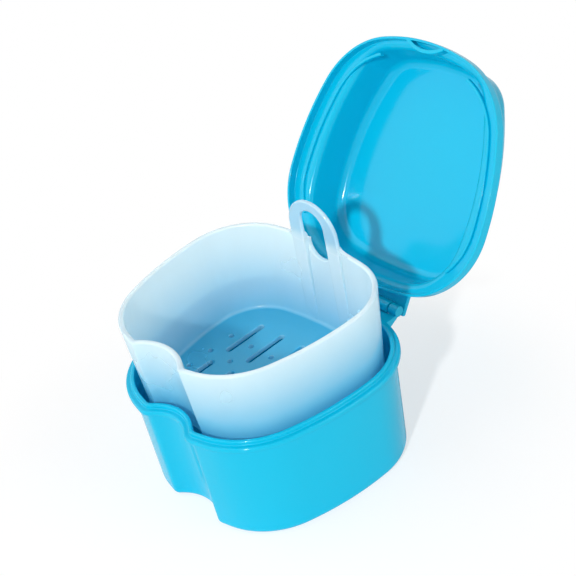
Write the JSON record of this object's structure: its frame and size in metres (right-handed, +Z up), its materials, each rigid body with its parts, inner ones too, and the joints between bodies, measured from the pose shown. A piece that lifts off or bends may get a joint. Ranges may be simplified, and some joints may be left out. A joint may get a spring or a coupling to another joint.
{
  "type": "denture case",
  "caption": "Denture soaking case: notched cup, lift-out strainer basket with a loop handle, and a domed lid on a hinge pin.",
  "frame": {"origin": "middle of the cup's flat underside, in line with the middle of its rim", "axes": "+X across the case to the right as seen from the thumb notch, +Y from the thumb notch to the hinge, +Z up out of the cup"},
  "size_m": [0.0884, 0.1452, 0.1102],
  "materials": {
    "case_plastic": "glossy moulded cyan plastic, slightly translucent",
    "basket_plastic": "milky translucent moulded plastic, glossy",
    "pin_plastic": "smooth cyan rod"
  },
  "bodies": {
    "cup": {"base_cup": "case_plastic", "hinge_pin": "pin_plastic"},
    "basket": {"strainer_basket": "basket_plastic"},
    "lid": {"lid": "case_plastic"}
  },
  "joints": [
    {"name": "lid_hinge", "type": "hinge", "parent": "cup", "child": "lid", "pos_m": [0, 0.04535, 0.03885], "axis": [1, 0, 0], "range_deg": [0, 125]},
    {"name": "basket_lift", "type": "slide", "parent": "cup", "child": "basket", "axis": [0, 0, -1], "range_m": [0, 0.0268]}
  ],
  "couplings": [
    {"joint": "basket_lift", "follows": "lid_hinge", "m_per_rad": 0.01228}
  ]
}
